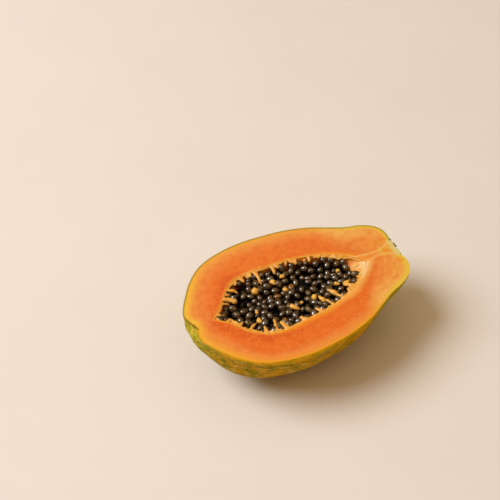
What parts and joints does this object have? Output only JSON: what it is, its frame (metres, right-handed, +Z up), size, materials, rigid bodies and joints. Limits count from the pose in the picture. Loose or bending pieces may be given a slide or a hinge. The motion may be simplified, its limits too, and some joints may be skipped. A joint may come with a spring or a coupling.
{
  "type": "papaya half",
  "caption": "Ripe papaya cut in half lengthwise, lying on its rind with the level cut face up: orange flesh round a pointed cavity filled with dark glossy seeds.",
  "frame": {"origin": "on the surface it rests on, under the middle of its length and width, on the small flat where the rind is pressed", "axes": "+X along the fruit towards the stem end, +Z up out of the cut face, +Y to the left seen along +X"},
  "size_m": [0.18, 0.121, 0.0583],
  "materials": {
    "flesh": "moist orange flesh, paler and yellower towards a thin green and golden rind",
    "seeds": "wet, glossy, near black with a grey-olive sheen"
  },
  "bodies": {
    "root": {"flesh": "flesh", "seeds": "seeds"}
  },
  "joints": []
}
